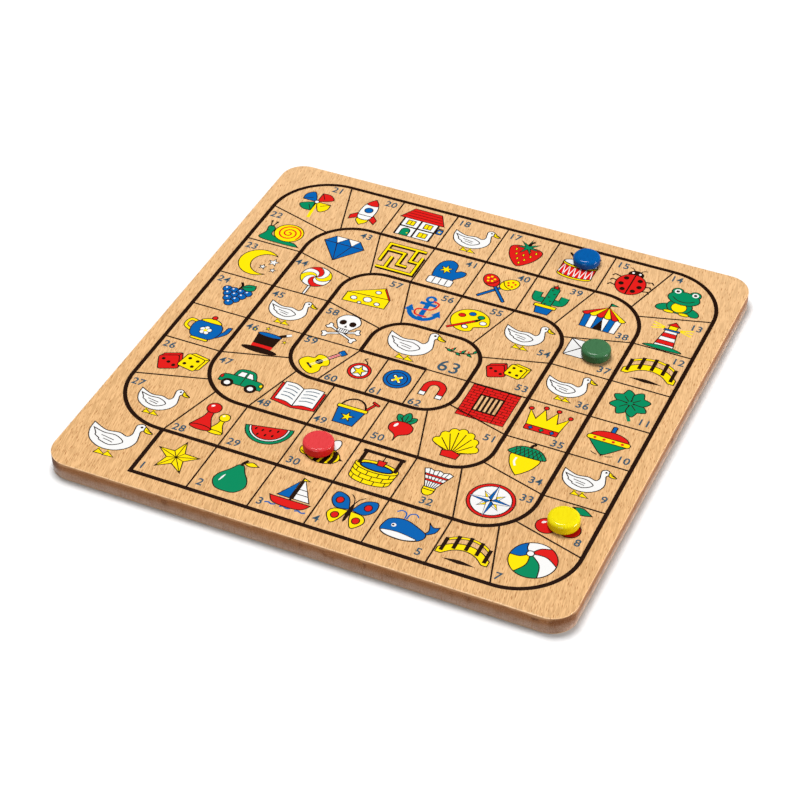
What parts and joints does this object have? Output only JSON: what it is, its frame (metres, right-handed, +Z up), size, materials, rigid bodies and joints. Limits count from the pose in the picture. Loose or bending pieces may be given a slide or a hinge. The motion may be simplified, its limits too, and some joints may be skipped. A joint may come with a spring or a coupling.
{
  "type": "goose game board",
  "caption": "Square wooden race-game board with rounded corners, a printed spiral track of numbered spaces and loose round painted counters standing on it.",
  "frame": {"origin": "middle of the board's underside", "axes": "+Z up out of the playing face, +X to the right and +Y to the far edge as the numbers are read"},
  "size_m": [0.3, 0.3, 0.018],
  "materials": {
    "beech": "satin varnished beech",
    "fibreboard": "sanded and sealed fibreboard edge",
    "line_ink": "screen ink",
    "numeral_ink": "screen ink",
    "white_ink": "screen ink",
    "red_ink": "screen ink",
    "yellow_ink": "screen ink",
    "blue_ink": "screen ink",
    "green_ink": "screen ink",
    "blue_paint": "gloss painted wood",
    "red_paint": "gloss painted wood",
    "green_paint": "gloss painted wood",
    "yellow_paint": "gloss painted wood"
  },
  "bodies": {
    "board": {"core_panel": "fibreboard", "top_veneer": "beech", "bottom_veneer": "beech", "track_line_print": "line_ink", "space_line_print": "line_ink"},
    "blue_counter": {"blue_counter": "blue_paint"},
    "red_counter": {"red_counter": "red_paint"},
    "green_counter": {"green_counter": "green_paint"},
    "yellow_counter": {"yellow_counter": "yellow_paint"}
  },
  "joints": [
    {"name": "blue_counter_lift", "type": "slide", "parent": "board", "child": "blue_counter", "axis": [0, 0, 1], "range_m": [0, 0.05]},
    {"name": "red_counter_lift", "type": "slide", "parent": "board", "child": "red_counter", "axis": [0, 0, 1], "range_m": [0, 0.05]},
    {"name": "green_counter_lift", "type": "slide", "parent": "board", "child": "green_counter", "axis": [0, 0, 1], "range_m": [0, 0.05]},
    {"name": "yellow_counter_lift", "type": "slide", "parent": "board", "child": "yellow_counter", "axis": [0, 0, 1], "range_m": [0, 0.05]}
  ]
}
